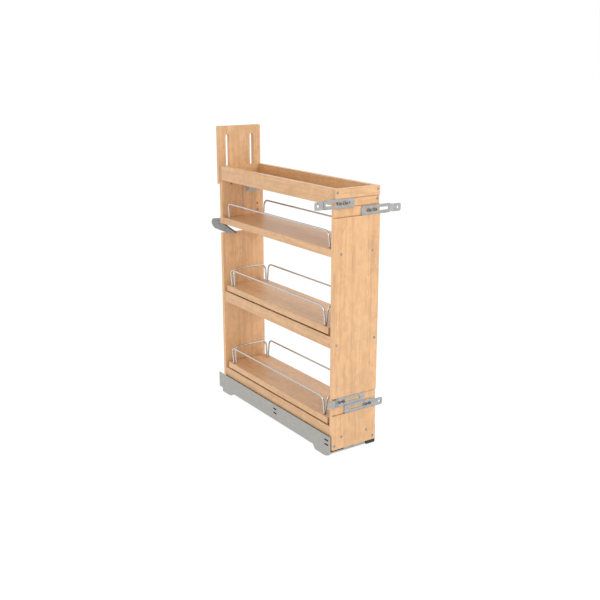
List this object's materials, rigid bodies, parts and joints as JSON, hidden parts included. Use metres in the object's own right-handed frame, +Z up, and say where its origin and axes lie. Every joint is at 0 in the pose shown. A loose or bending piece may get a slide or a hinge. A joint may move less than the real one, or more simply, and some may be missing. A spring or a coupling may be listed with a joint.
{
  "type": "pull-out pantry organizer",
  "caption": "Narrow wooden pull-out cabinet organizer with a top tray, wire-railed shelves and slotted door brackets, on full-extension slides between two steel side plates.",
  "frame": {"origin": "centre of the four floor screw holes, on the floor, under the middle of the side plates' length", "axes": "+X to the right seen from the front, +Y to the rear (the carriage pulls out along -Y), +Z up"},
  "size_m": [0.245, 0.5881, 0.7545],
  "materials": {
    "maple": "clear-lacquered maple, satin",
    "chrome_wire": "polished chrome plate",
    "zinc_sheet": "zinc-plated sheet steel, slightly mottled",
    "bracket_steel": "bright zinc-plated steel",
    "zinc_screws": "bright zinc plate",
    "dark_screws": "dark zinc plate",
    "grey_plastic": "moulded, blue-grey",
    "black_plastic": "moulded, black",
    "white_nylon": "natural nylon",
    "strip_rubber": "black rubber strip"
  },
  "bodies": {
    "base": {"side_plate_left": "zinc_sheet", "side_plate_right": "zinc_sheet", "front_cross_bar": "zinc_sheet", "rear_cross_bar": "zinc_sheet", "cabinet_member_left": "zinc_sheet", "cabinet_member_right": "zinc_sheet", "soft_close_unit": "black_plastic", "cross_bar_screw": "zinc_screws"},
    "intermediate_left": {"intermediate_member_left": "zinc_sheet"},
    "intermediate_right": {"intermediate_member_right": "zinc_sheet"},
    "lower_cage_left": {"lower_roller_cage_left": "white_nylon"},
    "lower_cage_right": {"lower_roller_cage_right": "white_nylon"},
    "upper_cage_left": {"upper_roller_cage_left": "white_nylon"},
    "upper_cage_right": {"upper_roller_cage_right": "white_nylon"},
    "carriage": {"drawer_member_left": "zinc_sheet", "drawer_member_right": "zinc_sheet", "front_flange_left": "zinc_sheet", "front_flange_right": "zinc_sheet", "front_panel": "maple", "rear_lower_panel": "maple", "rear_upper_panel": "maple", "upper_shelf": "maple", "middle_stretcher_left": "maple", "middle_stretcher_right": "maple", "base_board": "maple", "tray_front_wall": "maple", "tray_rear_wall": "maple", "tray_left_wall": "maple", "tray_right_wall": "maple", "tray_floor": "maple", "upper_rail_left": "chrome_wire", "upper_rail_right": "chrome_wire", "guide_arm": "grey_plastic", "tray_bracket": "zinc_sheet", "front_panel_screws": "zinc_screws", "rear_panel_screws": "zinc_screws", "tray_screws": "zinc_screws", "base_screws": "zinc_screws", "flange_screws": "zinc_screws", "fitting_screws": "zinc_screws", "bracket_screws": "dark_screws", "plate_screws": "zinc_screws", "washers": "bracket_steel"},
    "bracket_upper_left": {"door_bracket_upper_left": "bracket_steel"},
    "bracket_upper_right": {"door_bracket_upper_right": "bracket_steel"},
    "bracket_lower_left": {"door_bracket_lower_left": "bracket_steel"},
    "bracket_lower_right": {"door_bracket_lower_right": "bracket_steel"},
    "back_plate": {"back_plate": "maple"},
    "middle_shelf": {"middle_shelf": "maple", "middle_rail_left": "chrome_wire", "middle_rail_right": "chrome_wire", "middle_rail_front": "chrome_wire", "middle_rail_rear": "chrome_wire", "middle_shelf_strips": "strip_rubber"},
    "lower_shelf": {"lower_shelf": "maple", "lower_rail_left": "chrome_wire", "lower_rail_right": "chrome_wire", "lower_rail_front": "chrome_wire", "lower_rail_rear": "chrome_wire", "lower_shelf_strips": "strip_rubber"}
  },
  "joints": [
    {"name": "carriage_slide", "type": "slide", "parent": "base", "child": "carriage", "axis": [0, -1, 0], "range_m": [0, 0.48]},
    {"name": "intermediate_slide_left", "type": "slide", "parent": "base", "child": "intermediate_left", "axis": [0, -1, 0], "range_m": [0, 0.24]},
    {"name": "lower_cage_slide_left", "type": "slide", "parent": "base", "child": "lower_cage_left", "axis": [0, -1, 0], "range_m": [0, 0.12]},
    {"name": "upper_cage_slide_left", "type": "slide", "parent": "base", "child": "upper_cage_left", "axis": [0, -1, 0], "range_m": [0, 0.36]},
    {"name": "intermediate_slide_right", "type": "slide", "parent": "base", "child": "intermediate_right", "axis": [0, -1, 0], "range_m": [0, 0.24]},
    {"name": "lower_cage_slide_right", "type": "slide", "parent": "base", "child": "lower_cage_right", "axis": [0, -1, 0], "range_m": [0, 0.12]},
    {"name": "upper_cage_slide_right", "type": "slide", "parent": "base", "child": "upper_cage_right", "axis": [0, -1, 0], "range_m": [0, 0.36]},
    {"name": "bracket_upper_left_shift", "type": "slide", "parent": "carriage", "child": "bracket_upper_left", "axis": [1, 0, 0], "range_m": [-0.008, 0.035]},
    {"name": "bracket_upper_right_shift", "type": "slide", "parent": "carriage", "child": "bracket_upper_right", "axis": [-1, 0, 0], "range_m": [-0.008, 0.035]},
    {"name": "bracket_lower_left_shift", "type": "slide", "parent": "carriage", "child": "bracket_lower_left", "axis": [1, 0, 0], "range_m": [-0.048, 0]},
    {"name": "bracket_lower_right_shift", "type": "slide", "parent": "carriage", "child": "bracket_lower_right", "axis": [-1, 0, 0], "range_m": [-0.048, 0]},
    {"name": "back_plate_height", "type": "slide", "parent": "carriage", "child": "back_plate", "axis": [0, 0, 1], "range_m": [-0.089, 0]},
    {"name": "middle_shelf_lift", "type": "slide", "parent": "carriage", "child": "middle_shelf", "axis": [0, 0, 1], "range_m": [0, 0.09]},
    {"name": "lower_shelf_lift", "type": "slide", "parent": "carriage", "child": "lower_shelf", "axis": [0, 0, 1], "range_m": [0, 0.09]}
  ],
  "couplings": [
    {"joint": "intermediate_slide_left", "follows": "carriage_slide", "ratio": 0.5},
    {"joint": "lower_cage_slide_left", "follows": "carriage_slide", "ratio": 0.25},
    {"joint": "upper_cage_slide_left", "follows": "carriage_slide", "ratio": 0.75},
    {"joint": "intermediate_slide_right", "follows": "carriage_slide", "ratio": 0.5},
    {"joint": "lower_cage_slide_right", "follows": "carriage_slide", "ratio": 0.25},
    {"joint": "upper_cage_slide_right", "follows": "carriage_slide", "ratio": 0.75}
  ]
}
